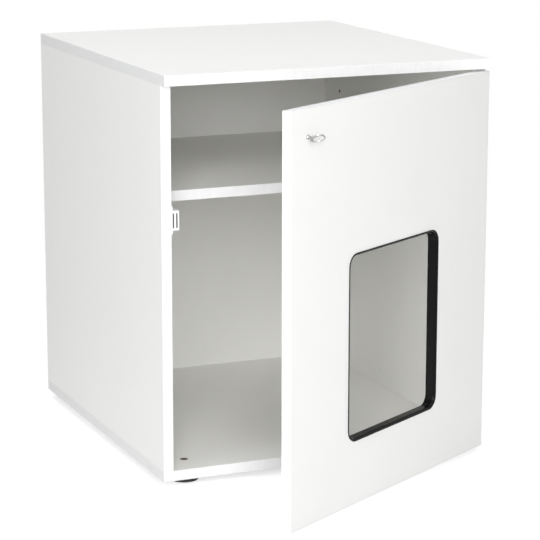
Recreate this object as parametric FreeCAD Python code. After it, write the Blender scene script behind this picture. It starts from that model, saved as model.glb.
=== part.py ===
import FreeCAD, Part
import os

V = FreeCAD.Vector

# Cat litter box cabinet: a board carcass on screw feet, with one shelf, a magnetic catch and a
# full-overlay door on two concealed link hinges. The door has a trimmed cat entry and a ring pull.
#
# Millimetres, +Z up. The model is laid out with x = 0 at the left outer face, y = 0 at the front
# edges of the side panels and z = 0 on the floor, and is moved at the end so that the origin lies
# at the middle of the bounding box's bottom. The door, its hinge links and its fittings are drawn
# shut and then swung to the stored ajar pose.

past = 1.0                  # how far a cutter reaches past the face it opens
touch = 0.01                # how near two places are to count as one when edges are chosen

# ---- carcass -------------------------------------------------------------------------------
board = 16.0                # melamine-faced chipboard of every panel
cabinet_width = 535.0       # over both sides
side_depth = 572.0          # front edge to back edge of a side panel
box_height = 618.0          # underside of the bottom panel to the top surface
edge_round = 0.4            # eased edges of the boards
back_thickness = 3.0        # hardboard back
back_inset = 12.0           # back edge of the sides to the hardboard
groove_depth = 6.0          # groove that holds the hardboard
groove_play = 0.2           # groove width over the hardboard
groove_end_gap = 1.0        # hardboard short of the groove's bottom at the sides and the top

# ---- dowels that join the panels -----------------------------------------------------------
dowel_diameter = 8.0
dowel_in_panel = 10.0       # depth in the top and the bottom panel
dowel_in_edge = 20.0        # depth in the edge of a side panel
dowel_end_gap = 0.5         # air at each end of a dowel
dowel_inset = 60.0          # outer dowels from the front and back edges of the side
dowel_rows = 3

# ---- shelf ---------------------------------------------------------------------------------
shelf_height = 412.5        # underside of the box to the underside of the shelf
shelf_depth = 470.0
shelf_side_gap = 0.5
shelf_back_gap = 1.0
shelf_pin_inset = 59.0      # support pins from the shelf's front and back edges
shelf_pin_drop = 6.0        # pin axis below the shelf
shelf_pin_diameter = 5.0
shelf_hole_depth = 10.0
shelf_pin_length = 9.0
shelf_spare_step = 96.0     # spare holes above the ones in use
support_width = 16.0
support_height = 14.0
support_reach = 12.0
support_wall = 2.5
support_gusset_step = 1.0   # gusset short of the wall plate's and the ledge's ends

# ---- door ----------------------------------------------------------------------------------
door_side_reveal = 3.0      # cabinet's outer face to the door's edge, each side
door_top_gap = 3.5          # under the top panel
door_back_gap = 2.0         # front edges of the sides to the back of the shut door
door_ajar = 31.2            # degrees open, as stored

entry_width = 242.0         # cut-out for the cat
entry_height = 280.0
entry_corner = 20.0
entry_bottom = 96.0         # door's lower edge to the cut-out
trim_thickness = 4.2        # black edge trim, from the cut-out to its crown
trim_proud = 1.0            # trim past each face of the door
trim_crown = 3.6            # rounding of the trim's inner rims
trim_stem = 7.0             # stem pressed into the slot in the cut-out's edge
trim_stem_thickness = 2.0

# ---- door pull: a ring on a stem -----------------------------------------------------------
pull_from_edge = 37.5       # free edge of the door to the stem's axis
pull_from_top = 39.5
pull_base_diameter = 9.0
pull_base_height = 2.0
pull_neck_height = 4.0      # flare between the base and the stem
pull_neck_step = 0.6        # base's radius over the flare's
pull_stem_diameter = 5.6
pull_ring_reach = 17.5      # door face to the middle of the ring
pull_ring_outer = 21.0
pull_ring_inner = 15.4
pull_ring_width = 4.5
pull_ring_round = 1.1
pull_ring_turn = 70.0       # degrees that the ring is turned about its stem
pull_screw_diameter = 4.0
pull_screw_head = 8.0
pull_screw_head_height = 2.4
pull_screw_grip = 5.0       # thread in the stem
pull_hole_play = 0.25

# ---- magnetic catch on the left side -------------------------------------------------------
catch_height = 400.5        # underside of the box to the catch's middle
catch_width = 12.6          # off the side panel
catch_depth = 15.0
catch_tall = 30.4
catch_flange_tall = 43.5
catch_flange_thickness = 2.6
catch_flange_step = 1.0     # flange's sides in from the housing's
catch_flange_corner = 3.4
catch_round = 1.0
catch_pole_offset = 5.8     # side panel to the middle of the two pole plates
catch_pole_pitch = 5.5
catch_pole_thickness = 1.6
catch_pole_tall = 22.0
catch_pole_deep = 13.0
catch_pole_proud = 0.4
catch_slot_play = 0.2
catch_magnet_front = 2.0    # housing's mouth to the magnet
catch_magnet_step = 1.0     # magnet short of the pole plates at its other ends
catch_screw_diameter = 3.0
catch_screw_head = 5.0
catch_screw_head_height = 1.4
catch_screw_length = 10.0
strike_tall = 38.0
strike_wide = 14.0
strike_thickness = 1.2
strike_round = 4.0
strike_screw_length = 12.0

# ---- concealed hinges ----------------------------------------------------------------------
# Pivots in plan with the door shut. The arm's pivots are measured from the right panel's inner
# face and front edge, the cup's from the door's edge and back face.
hinge_from_door_end = 95.0  # cup centre from the door's top and bottom edges
arm_outer_pivot = (-15.2, -0.4)
arm_inner_pivot = (-20.4, 5.6)
cup_outer_pivot = (-9.2, -6.2)
cup_inner_pivot = (-8.9, -2.5)
inner_link_end = (23.6, -9.3)    # from the inner link's arm pivot
outer_link_ratio = -0.347   # turn of each link for one unit of the door's turn
inner_link_ratio = -0.409
door_open_limit = 92.0      # degrees from shut

cup_diameter = 35.0
cup_edge_distance = 4.0     # door's edge to the cup's bore
cup_depth = 13.0
cup_wall = 1.0
cup_floor = 0.7
cup_flange = 1.0
cup_flange_lip = 1.5        # flange past the bore
cup_screw_pitch = 48.0
cup_screw_offset = 6.0      # screws from the cup's centre, away from the hinge side
cup_screw_diameter = 3.5
cup_screw_head = 6.6
cup_screw_length = 12.0
hinge_screw_head_height = 1.2
cup_wing_width = 11.0

link_pin_diameter = 2.5
end_pin_diameter = 2.0      # pin on the inner link's free end
end_pin_play = 1.3          # room round that pin in the cup's ears
ear_wall = 0.8              # ear round that room
pin_play = 0.05             # running clearance of a link on its pin
# Half heights of the layers that the hinge's plates stand in, counted from its middle.
inner_link_half = 2.1
ear_layer = (2.5, 3.7)
outer_link_layer = (4.1, 5.7)
cheek_layer = (6.1, 7.7)
link_half_thickness = 1.1
link_eye = 2.6
outer_link_bends = ((-28.4, -8.2), (-20.6, -11.7))
inner_link_bends = ((-24.0, -5.2), (-17.6, -6.9))
arm_wall = 1.6
arm_nose = 2.8
arm_nose_play = 0.7         # room between the inner link's eye and the arm's face
arm_nose_length = 5.0       # straight face behind the inner link's pivot
arm_slope = 22.0            # front edge of the side to the end of the slope behind the nose
arm_heel = 18.0             # front edge of the side to the cheeks' heel
arm_mouth = 20.0            # how far the channel's cutter reaches past the nose
arm_back = 62.0             # front edge of the side to the arm's rear end
arm_low = 2.9               # side panel to the arm's lower edge
arm_height = 16.0           # side panel to the arm's outer face over the plate
plate_screw_setback = 37.0  # front edge of the side to the plate's screws
plate_screw_pitch = 32.0
plate_thickness = 2.5
plate_wing_width = 14.0
plate_front = 19.0
rail_front = 24.0           # front edge of the side to the raised rail
rail_short = 2.0            # rail ends this far before the arm's rear end
plate_screw_diameter = 5.0
plate_screw_head = 8.5
plate_screw_length = 12.0
rail_play = 0.2
arm_screw_head = 7.0
arm_screw_head_height = 1.6
arm_screw_diameter = 4.0
arm_screw_setbacks = (30.0, 52.0)

# ---- screw feet ----------------------------------------------------------------------------
foot_inset_side = 52.5      # foot axis from the outer face
foot_inset_end = 51.5       # foot axis from the front and back edges of the sides
foot_height = 15.0          # floor to the box
foot_diameter = 44.0
foot_plate = 6.0
foot_plate_bevel = 1.8
foot_hub_diameter = 20.0
foot_hub_gap = 3.0          # hub to the insert's flange, the foot's way up
insert_flange_diameter = 24.0
insert_flange = 2.0
insert_sleeve_diameter = 12.5
insert_short = 2.0          # sleeve ends this far under the bottom panel's upper face
spindle_diameter = 8.0
spindle_play = 0.05
spindle_top = 4.0           # spindle ends this far under the bottom panel's upper face
spindle_collar_diameter = 10.0
spindle_collar_height = 4.4
spindle_collar_floor = 3.0  # foot's underside to the collar's pocket
collar_play = 0.3
spindle_slot = 1.4
spindle_slot_depth = 2.0

# ---- plug of a hole low in the right side --------------------------------------------------
plug_height = 41.7          # underside of the box to the plug
plug_setback = 321.3        # front edge of the side to the plug
plug_diameter = 5.0
plug_head_diameter = 7.0
plug_head = 0.6
plug_length = 8.0
plug_end_gap = 1.0          # air at the end of the plug's stem

# ---- places worked out from the sizes ------------------------------------------------------
inner_right = cabinet_width - board
box_low = foot_height
floor_level = box_low + board
top_level = box_low + box_height
ceiling_level = top_level - board
door_thickness = board
door_width = cabinet_width - 2.0 * door_side_reveal
door_height = box_height - board - door_top_gap
door_left = door_side_reveal
door_right = cabinet_width - door_side_reveal
door_back = -door_back_gap
door_front = door_back - door_thickness
back_front = side_depth - back_inset - back_thickness
shelf_low = box_low + shelf_height
shelf_back = back_front - shelf_back_gap
shelf_front = shelf_back - shelf_depth
support_columns = (shelf_front + shelf_pin_inset, shelf_back - shelf_pin_inset)
support_pin_level = shelf_low - shelf_pin_drop
catch_level = box_low + catch_height
hinge_levels = {"lower": box_low + hinge_from_door_end,
                "upper": box_low + door_height - hinge_from_door_end}
pull_x = door_left + pull_from_edge
pull_z = box_low + door_height - pull_from_top
cup_x = door_right - cup_edge_distance - cup_diameter / 2.0
cup_bore_end = door_back - cup_depth
cup_floor_top = cup_bore_end + cup_floor
cup_inner_radius = cup_diameter / 2.0 - cup_wall
pivot_a = V(inner_right + arm_outer_pivot[0], arm_outer_pivot[1], 0)
pivot_b = V(inner_right + arm_inner_pivot[0], arm_inner_pivot[1], 0)
pivot_c = V(door_right + cup_outer_pivot[0], door_back + cup_outer_pivot[1], 0)
pivot_d = V(door_right + cup_inner_pivot[0], door_back + cup_inner_pivot[1], 0)
link_end = pivot_b + V(inner_link_end[0], inner_link_end[1], 0)
foot_axes = {"front_left": (foot_inset_side, foot_inset_end),
             "front_right": (cabinet_width - foot_inset_side, foot_inset_end),
             "rear_left": (foot_inset_side, side_depth - foot_inset_end),
             "rear_right": (cabinet_width - foot_inset_side, side_depth - foot_inset_end)}

parts = {}


# ---- drawing helpers -----------------------------------------------------------------------
def box(x0, x1, y0, y1, z0, z1):
    return Part.makeBox(x1 - x0, y1 - y0, z1 - z0, V(x0, y0, z0))


def rod(start, axis, diameter, length):
    return Part.makeCylinder(diameter / 2.0, length, start, axis)


def eased(solid, radius, keep=lambda edge: True):
    """Round the chosen edges of a solid."""
    return solid.makeFillet(radius, [edge for edge in solid.Edges if keep(edge)])


def plate(points, z0, z1):
    """A flat plate with the outline through the given plan points."""
    corners = [V(p[0], p[1], z0) for p in points]
    face = Part.Face(Part.makePolygon(corners + [corners[0]]))
    return face.extrude(V(0, 0, z1 - z0))


def strip(path, half, z0, z1):
    """A plate of even width along a plan path, with a round at every point."""
    solid = disc(path[0], half, z0, z1)
    for start, end in zip(path, path[1:]):
        along = end - start
        across = V(-along.y, along.x, 0).normalize() * half
        solid = solid.fuse(plate([start + across, end + across, end - across, start - across], z0, z1))
        solid = solid.fuse(disc(end, half, z0, z1))
    return solid.removeSplitter()


def disc(centre, radius, z0, z1):
    return Part.makeCylinder(radius, z1 - z0, V(centre.x, centre.y, z0))


def both_ways(layer, make):
    """The same plate above and below a hinge's middle plane."""
    return [make(layer[0], layer[1]), make(-layer[1], -layer[0])]


def rounded_window(width, height, corner, y0, y1, centre_x, low):
    """A prism along Y with a rounded rectangle as its section."""
    left = centre_x - width / 2.0
    solid = box(left, left + width, y0, y1, low, low + height)
    return eased(solid, corner, lambda edge: abs(edge.tangentAt(edge.FirstParameter).y) > 0.9)


def screw(tip, direction, diameter, length, head_diameter, head_height):
    """A screw whose shank ends under the head; the direction runs from head to tip."""
    shank = rod(tip - direction * length, direction, diameter, length)
    head = rod(tip - direction * (length + head_height), direction, head_diameter, head_height)
    return shank.fuse(head).removeSplitter()


def turned(shape, pivot, degrees):
    """The shape turned about a vertical axis through a plan point."""
    moved = shape.copy()
    moved.rotate(V(pivot.x, pivot.y, 0), V(0, 0, 1), degrees)
    return moved


def swing(shape):
    """Move a shape from the shut door to the door as stored."""
    moved = turned(shape, pivot_c, door_ajar)
    carried = V(pivot_c.x, pivot_c.y, 0)
    swept = turned(Part.Vertex(carried), pivot_a, door_ajar * outer_link_ratio)
    moved.translate(swept.Point - carried)
    return moved


# ---- carcass panels ------------------------------------------------------------------------
def dowel_places():
    step = (side_depth - 2.0 * dowel_inset) / (dowel_rows - 1)
    for x in (board / 2.0, cabinet_width - board / 2.0):
        for row in range(dowel_rows):
            for seam, up in ((floor_level, 1.0), (ceiling_level, -1.0)):
                yield V(x, dowel_inset + row * step, seam), V(0, 0, up)


def dowel_holes():
    for seat, into_side in dowel_places():
        start = seat - into_side * dowel_in_panel
        yield rod(start, into_side, dowel_diameter, dowel_in_panel + dowel_in_edge)


def back_groove():
    y0 = side_depth - back_inset - back_thickness - groove_play / 2.0
    y1 = side_depth - back_inset + groove_play / 2.0
    return box(board - groove_depth, inner_right + groove_depth, y0, y1,
               floor_level - groove_depth, ceiling_level + groove_depth)


def make_panels():
    removed = Part.makeCompound(list(dowel_holes()) + [back_groove()])
    overhang = door_back_gap + door_thickness
    top = box(0, cabinet_width, -overhang, side_depth, ceiling_level, top_level)
    bottom = box(0, cabinet_width, 0, side_depth, box_low, floor_level)
    left = box(0, board, 0, side_depth, floor_level, ceiling_level)
    right = box(inner_right, cabinet_width, 0, side_depth, floor_level, ceiling_level)
    long_edges = lambda edge: edge.Length > board * 1.5
    top = eased(top, edge_round, long_edges).cut(removed)
    bottom = eased(bottom, edge_round, long_edges).cut(removed)
    for x, y in foot_axes.values():
        bottom = bottom.cut(rod(V(x, y, box_low), V(0, 0, 1), insert_sleeve_diameter, board))
    left = left.cut(removed)
    right = right.cut(removed)
    for y in support_columns:
        for z in (support_pin_level, support_pin_level + shelf_spare_step):
            bore = (shelf_pin_diameter, shelf_hole_depth)
            left = left.cut(rod(V(board, y, z), V(-1, 0, 0), *bore))
            right = right.cut(rod(V(inner_right, y, z), V(1, 0, 0), *bore))
    for tip, direction in catch_screw_tips():
        left = left.cut(rod(tip, -direction, catch_screw_diameter, catch_screw_length))
    for level in hinge_levels.values():
        for tip in plate_screw_tips(level):
            right = right.cut(rod(tip, V(-1, 0, 0), plate_screw_diameter, plate_screw_length))
    plug_hole = rod(V(inner_right, plug_setback, box_low + plug_height), V(1, 0, 0),
                    plug_diameter, plug_length)
    parts["top_panel"] = top
    parts["bottom_panel"] = bottom
    parts["left_side_panel"] = left
    parts["right_side_panel"] = right.cut(plug_hole)


def make_back():
    reach = groove_depth - groove_end_gap
    parts["back_panel"] = box(board - reach, inner_right + reach, back_front, back_front + back_thickness,
                              floor_level - groove_depth, ceiling_level + reach)


def make_dowels():
    length = dowel_in_panel + dowel_in_edge - 2.0 * dowel_end_gap
    pieces = []
    for seat, into_side in dowel_places():
        start = seat - into_side * (dowel_in_panel - dowel_end_gap)
        pieces.append(rod(start, into_side, dowel_diameter, length))
    parts["wood_dowels"] = Part.makeCompound(pieces)


def make_plug():
    place = V(inner_right, plug_setback, box_low + plug_height)
    stem = rod(place, V(1, 0, 0), plug_diameter, plug_length - plug_end_gap)
    head = rod(place, V(-1, 0, 0), plug_head_diameter, plug_head)
    parts["hole_plug"] = stem.fuse(head).removeSplitter()


# ---- shelf and its supports ----------------------------------------------------------------
def make_shelf():
    shelf = box(board + shelf_side_gap, inner_right - shelf_side_gap, shelf_front, shelf_back,
                shelf_low, shelf_low + board)
    parts["shelf"] = eased(shelf, edge_round, lambda edge: edge.Length > board * 1.5)


def support(y):
    """Angle support for the left side: wall plate, ledge, gusset and pin."""
    low = shelf_low - support_height
    wall = box(board, board + support_wall, y - support_width / 2.0, y + support_width / 2.0,
               low, shelf_low)
    ledge = box(board, board + support_reach, y - support_width / 2.0, y + support_width / 2.0,
                shelf_low - support_wall, shelf_low)
    corners = [V(board, y, low + support_gusset_step),
               V(board + support_reach - support_gusset_step, y, shelf_low - support_wall),
               V(board, y, shelf_low - support_wall)]
    gusset = Part.Face(Part.makePolygon(corners + [corners[0]])).extrude(V(0, support_wall, 0))
    gusset.translate(V(0, -support_wall / 2.0, 0))
    pin = rod(V(board, y, support_pin_level), V(-1, 0, 0), shelf_pin_diameter, shelf_pin_length)
    return wall.fuse([ledge, gusset, pin]).removeSplitter()


def make_supports():
    pieces = []
    for y in support_columns:
        left = support(y)
        pieces.append(left)
        pieces.append(left.mirror(V(cabinet_width / 2.0, 0, 0), V(1, 0, 0)))
    parts["shelf_supports"] = Part.makeCompound(pieces)


# ---- magnetic catch ------------------------------------------------------------------------
def catch_screw_tips():
    lever = (catch_tall + catch_flange_tall) / 4.0
    for side in (-1.0, 1.0):
        z = catch_level + side * lever
        yield V(board - catch_screw_length, catch_depth / 2.0, z), V(-1, 0, 0)


def catch_pole(shift, play):
    x = board + catch_pole_offset + shift
    half = catch_pole_thickness / 2.0 + play
    tall = catch_pole_tall / 2.0 + play
    return box(x - half, x + half, -catch_pole_proud, catch_pole_deep + play,
               catch_level - tall, catch_level + tall)


def make_catch():
    housing = box(board, board + catch_width, 0, catch_depth,
                  catch_level - catch_tall / 2.0, catch_level + catch_tall / 2.0)
    housing = eased(housing, catch_round, lambda edge: edge.CenterOfMass.x > board + touch)
    flange = box(board, board + catch_flange_thickness, catch_flange_step, catch_depth - catch_flange_step,
                 catch_level - catch_flange_tall / 2.0, catch_level + catch_flange_tall / 2.0)
    flange = eased(flange, catch_flange_corner,
                   lambda edge: abs(edge.tangentAt(edge.FirstParameter).x) > 0.9)
    body = housing.fuse(flange).removeSplitter()
    poles = []
    for shift in (-catch_pole_pitch / 2.0, catch_pole_pitch / 2.0):
        body = body.cut(catch_pole(shift, catch_slot_play))
        poles.append(catch_pole(shift, 0.0))
    gap = (catch_pole_pitch - catch_pole_thickness) / 2.0
    middle = board + catch_pole_offset
    reach = catch_pole_tall / 2.0 - catch_magnet_step
    magnet = box(middle - gap, middle + gap, catch_magnet_front, catch_pole_deep - catch_magnet_step,
                 catch_level - reach, catch_level + reach)
    body = body.cut(magnet)
    screws = []
    for tip, direction in catch_screw_tips():
        length = catch_screw_length + catch_flange_thickness
        body = body.cut(rod(tip, -direction, catch_screw_diameter, length))
        screws.append(screw(tip, direction, catch_screw_diameter, length,
                            catch_screw_head, catch_screw_head_height))
    parts["catch_housing"] = body
    parts["catch_pole_plates"] = Part.makeCompound(poles)
    parts["catch_magnet"] = magnet
    parts["catch_screws"] = Part.makeCompound(screws)


def make_strike():
    x = board + catch_pole_offset
    strike = box(x - strike_wide / 2.0, x + strike_wide / 2.0, door_back, door_back + strike_thickness,
                 catch_level - strike_tall / 2.0, catch_level + strike_tall / 2.0)
    strike = eased(strike, strike_round, lambda edge: abs(edge.tangentAt(edge.FirstParameter).y) > 0.9)
    into_door = V(0, -1, 0)
    hole = rod(V(x, door_back + strike_thickness, catch_level), into_door,
               catch_screw_diameter, strike_thickness)
    sink = Part.makeCone(catch_screw_head / 2.0, catch_screw_diameter / 2.0, strike_thickness,
                         V(x, door_back + strike_thickness, catch_level), into_door)
    shank = rod(V(x, door_back, catch_level), into_door, catch_screw_diameter, strike_screw_length)
    parts["strike_plate"] = swing(strike.cut(hole).cut(sink))
    parts["strike_plate_screw"] = swing(sink.fuse(shank).removeSplitter())
    return shank


# ---- door ----------------------------------------------------------------------------------
def entry_centre():
    return (door_left + door_right) / 2.0


def trim_ring(grow, y0, y1, inward):
    """A ring round the entry, reaching outward by grow and inward by inward."""
    low = box_low + entry_bottom
    outer = rounded_window(entry_width + 2.0 * grow, entry_height + 2.0 * grow, entry_corner + grow,
                           y0, y1, entry_centre(), low - grow)
    inner = rounded_window(entry_width - 2.0 * inward, entry_height - 2.0 * inward,
                           entry_corner - inward, y0 - past, y1 + past, entry_centre(), low + inward)
    return outer.cut(inner)


def trim_stem_ring():
    middle = (door_front + door_back) / 2.0
    return trim_ring(trim_stem, middle - trim_stem_thickness / 2.0, middle + trim_stem_thickness / 2.0, 0.0)


def make_trim():
    y0 = door_front - trim_proud
    y1 = door_back + trim_proud
    cap = trim_ring(0.0, y0, y1, trim_thickness)
    inner_x = entry_width / 2.0 - trim_thickness + touch

    def on_inner_rim(edge):
        span = edge.BoundBox
        flat = span.YLength < touch and min(abs(span.YMin - y0), abs(span.YMin - y1)) < touch
        half_width = max(abs(span.XMin - entry_centre()), abs(span.XMax - entry_centre()))
        low = box_low + entry_bottom + trim_thickness - touch
        high = box_low + entry_bottom + entry_height - trim_thickness + touch
        return flat and half_width < inner_x and span.ZMin > low and span.ZMax < high

    cap = eased(cap, trim_crown, on_inner_rim)
    parts["entry_trim"] = swing(cap.fuse(trim_stem_ring()).removeSplitter())


def make_door(strike_shank):
    door = box(door_left, door_right, door_front, door_back, box_low, box_low + door_height)
    door = eased(door, edge_round)
    window = rounded_window(entry_width, entry_height, entry_corner, door_front - past, door_back + past,
                            entry_centre(), box_low + entry_bottom)
    door = door.cut(window).cut(trim_stem_ring()).cut(strike_shank)
    pull_hole = pull_screw_diameter + 2.0 * pull_hole_play
    door = door.cut(rod(V(pull_x, door_back, pull_z), V(0, -1, 0), pull_hole, door_thickness))
    for level in hinge_levels.values():
        door = door.cut(rod(V(cup_x, door_back, level), V(0, -1, 0), cup_diameter, cup_depth))
        for start in cup_screw_seats(level):
            door = door.cut(rod(start, V(0, -1, 0), cup_screw_diameter, cup_screw_length))
    parts["door_panel"] = swing(door)


def make_pull():
    out = V(0, -1, 0)
    foot = V(pull_x, door_front, pull_z)
    base = rod(foot, out, pull_base_diameter, pull_base_height)
    neck = Part.makeCone(pull_base_diameter / 2.0 - pull_neck_step, pull_stem_diameter / 2.0,
                         pull_neck_height, foot + out * pull_base_height, out)
    stem_length = pull_ring_reach - (pull_ring_inner + pull_ring_outer) / 4.0
    stem = rod(foot, out, pull_stem_diameter, stem_length)
    ring = Part.makeCylinder(pull_ring_outer / 2.0, pull_ring_width, V(0, 0, -pull_ring_width / 2.0))
    hole = Part.makeCylinder(pull_ring_inner / 2.0, pull_ring_width, V(0, 0, -pull_ring_width / 2.0))
    ring = eased(ring.cut(hole), pull_ring_round, lambda edge: edge.BoundBox.ZLength < touch)
    ring.rotate(V(0, 0, 0), V(0, 1, 0), 90.0)
    ring.rotate(V(0, 0, 0), V(0, 1, 0), pull_ring_turn)
    ring.translate(foot + out * pull_ring_reach)
    opening = Part.makeCylinder(pull_ring_inner / 2.0, pull_ring_width * 2.0, V(0, 0, -pull_ring_width))
    opening.rotate(V(0, 0, 0), V(0, 1, 0), 90.0 + pull_ring_turn)
    opening.translate(foot + out * pull_ring_reach)
    thread = rod(foot, out, pull_screw_diameter, pull_screw_grip)
    pull = base.fuse([neck, stem, ring]).removeSplitter().cut(opening).cut(thread)
    fixing = screw(foot + out * pull_screw_grip, out, pull_screw_diameter,
                   pull_screw_grip + door_thickness, pull_screw_head, pull_screw_head_height)
    parts["door_pull"] = swing(pull)
    parts["door_pull_screw"] = swing(fixing)


# ---- concealed hinges ----------------------------------------------------------------------
def cup_screw_seats(level):
    for side in (-1.0, 1.0):
        yield V(cup_x - cup_screw_offset, door_back, level + side * cup_screw_pitch / 2.0)


def plate_screw_tips(level):
    for side in (-1.0, 1.0):
        yield V(inner_right + plate_screw_length, plate_screw_setback, level + side * plate_screw_pitch / 2.0)


def make_cup(name, level):
    """The pressed cup with its flange, the lugs of its fixed pins and the ears of the free pin."""
    into_door = V(0, -1, 0)
    mouth = door_back + cup_flange
    centre = V(cup_x, mouth, 0)
    cup = rod(centre, into_door, cup_diameter, cup_flange + cup_depth)
    flange = rod(centre, into_door, cup_diameter + 2.0 * cup_flange_lip, cup_flange)
    wing_x = cup_x - cup_screw_offset
    wing = box(wing_x - cup_wing_width / 2.0, wing_x + cup_wing_width / 2.0, door_back, mouth,
               -cup_screw_pitch / 2.0, cup_screw_pitch / 2.0)
    ends = [rod(V(wing_x, mouth, side * cup_screw_pitch / 2.0), into_door, cup_wing_width, cup_flange)
            for side in (-1.0, 1.0)]
    cavity = rod(centre, into_door, 2.0 * cup_inner_radius, mouth - cup_floor_top)
    shell = cup.fuse([flange, wing] + ends).cut(cavity)
    wall_x = cup_x + cup_inner_radius + cup_wall / 2.0
    lug_reach = link_eye
    lugs = both_ways(cheek_layer, lambda z0, z1: disc(pivot_c, lug_reach, z0, z1).fuse(
        box(pivot_c.x - lug_reach, wall_x, cup_floor_top - cup_floor / 2.0, pivot_c.y, z0, z1)))
    ear_radius = end_pin_diameter / 2.0 + end_pin_play + ear_wall
    ears = both_ways(ear_layer, lambda z0, z1: disc(pivot_d, ear_radius, z0, z1).fuse(
        box(pivot_d.x, wall_x, pivot_d.y - ear_radius, pivot_d.y + ear_radius, z0, z1)))
    room = rod(centre, into_door, cup_diameter - cup_wall, cup_flange + cup_depth)
    for piece in lugs + ears:
        shell = shell.fuse(piece.common(room))
    free_hole = disc(pivot_d, end_pin_diameter / 2.0 + end_pin_play, -ear_layer[1], ear_layer[1])
    fixed_hole = disc(pivot_c, link_pin_diameter / 2.0, -cheek_layer[1], cheek_layer[1])
    shell = shell.removeSplitter().cut(free_hole).cut(fixed_hole)
    for side in (-1.0, 1.0):
        place = V(wing_x, mouth, side * cup_screw_pitch / 2.0)
        shell = shell.cut(rod(place, into_door, cup_screw_diameter, cup_flange))
    pins = [disc(pivot_c, link_pin_diameter / 2.0, z0, z1) for z0, z1 in
            ((ear_layer[1] + pin_play, cheek_layer[1]), (-cheek_layer[1], -ear_layer[1] - pin_play))]
    parts["hinge_cup_" + name] = swing(lifted(shell, level))
    parts["hinge_cup_pins_" + name] = swing(lifted(Part.makeCompound(pins), level))


def lifted(shape, level):
    moved = shape.copy()
    moved.translate(V(0, 0, level))
    return moved


def cup_screws():
    """The screws that hold both cups, as a group of separate solids."""
    pieces = []
    for level in hinge_levels.values():
        for start in cup_screw_seats(level):
            tip = start - V(0, cup_screw_length, 0)
            pieces.append(screw(tip, V(0, -1, 0), cup_screw_diameter, cup_screw_length + cup_flange,
                                cup_screw_head, hinge_screw_head_height))
    return Part.makeCompound(pieces)


def make_links(name, level):
    """The curved outer link plates and the inner link with its free pin."""
    bends = [V(cabinet_width + x, y, 0) for x, y in outer_link_bends]
    path = [pivot_a] + bends + [pivot_c]

    def outer_plate(z0, z1):
        solid = strip(path, link_half_thickness, z0, z1)
        solid = solid.fuse([disc(pivot_a, link_eye, z0, z1), disc(pivot_c, link_eye, z0, z1)])
        for pivot in (pivot_a, pivot_c):
            solid = solid.cut(disc(pivot, link_pin_diameter / 2.0 + pin_play, z0, z1))
        return solid

    outer = Part.makeCompound(both_ways(outer_link_layer, outer_plate))
    outer = turned(lifted(outer, level), pivot_a, door_ajar * outer_link_ratio)
    parts["hinge_outer_link_" + name] = outer

    bends = [V(cabinet_width + x, y, 0) for x, y in inner_link_bends]
    half = inner_link_half
    inner = strip([pivot_b] + bends + [link_end], link_half_thickness, -half, half)
    inner = inner.fuse([disc(pivot_b, link_eye, -half, half),
                        disc(link_end, end_pin_diameter, -half, half),
                        disc(link_end, end_pin_diameter / 2.0, -ear_layer[1], ear_layer[1])])
    inner = inner.removeSplitter()
    inner = inner.cut(disc(pivot_b, link_pin_diameter / 2.0 + pin_play, -half, half))
    inner = turned(lifted(inner, level), pivot_b, door_ajar * inner_link_ratio)
    parts["hinge_inner_link_" + name] = inner


def arm_outline():
    """Plan outline of the arm's cheeks."""
    face_x = inner_right - arm_height
    nose_x = pivot_b.x - link_eye - arm_nose_play - arm_wall
    return [V(inner_right - arm_low, arm_back, 0), V(inner_right - arm_low, arm_heel, 0),
            V(pivot_a.x + arm_nose, pivot_a.y, 0), V(pivot_a.x - arm_nose, pivot_a.y - arm_nose / 2.0, 0),
            V(nose_x, pivot_b.y - arm_nose, 0), V(nose_x, pivot_b.y + arm_nose_length, 0),
            V(face_x, arm_slope, 0), V(face_x, arm_back, 0)]


def make_arm(name, level):
    """The channel-shaped arm, open towards the side panel."""
    outline = arm_outline()
    outer = plate(outline, -cheek_layer[1], cheek_layer[1])
    outer = outer.fuse(disc(pivot_a, arm_nose, -cheek_layer[1], cheek_layer[1])).removeSplitter()
    shifted = [p + V(arm_wall, 0, 0) for p in outline[4:]]
    mouth = V(0, arm_mouth, 0)
    channel = plate([shifted[0] - mouth, shifted[0], shifted[1], shifted[2], shifted[3] + V(0, past, 0),
                     V(inner_right, arm_back + past, 0), V(inner_right, shifted[0].y, 0) - mouth],
                    -cheek_layer[0], cheek_layer[0])
    arm = outer.cut(channel)
    for pivot in (pivot_a, pivot_b):
        arm = arm.cut(disc(pivot, link_pin_diameter / 2.0, -cheek_layer[1], cheek_layer[1]))
    screws = []
    face_x = inner_right - arm_height
    for setback in arm_screw_setbacks:
        place = V(face_x, setback, 0)
        arm = arm.cut(rod(place, V(1, 0, 0), arm_screw_diameter, arm_wall))
        length = arm_wall + arm_screw_diameter
        screws.append(lifted(screw(place + V(length, 0, 0), V(1, 0, 0), arm_screw_diameter, length,
                                   arm_screw_head, arm_screw_head_height), level))
    short = (ear_layer[1] + pin_play, cheek_layer[1])
    pins = both_ways(short, lambda z0, z1: disc(pivot_a, link_pin_diameter / 2.0, z0, z1))
    pins.append(disc(pivot_b, link_pin_diameter / 2.0, -cheek_layer[1], cheek_layer[1]))
    parts["hinge_arm_" + name] = lifted(arm, level)
    parts["hinge_arm_pins_" + name] = lifted(Part.makeCompound(pins), level)
    return screws


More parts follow.
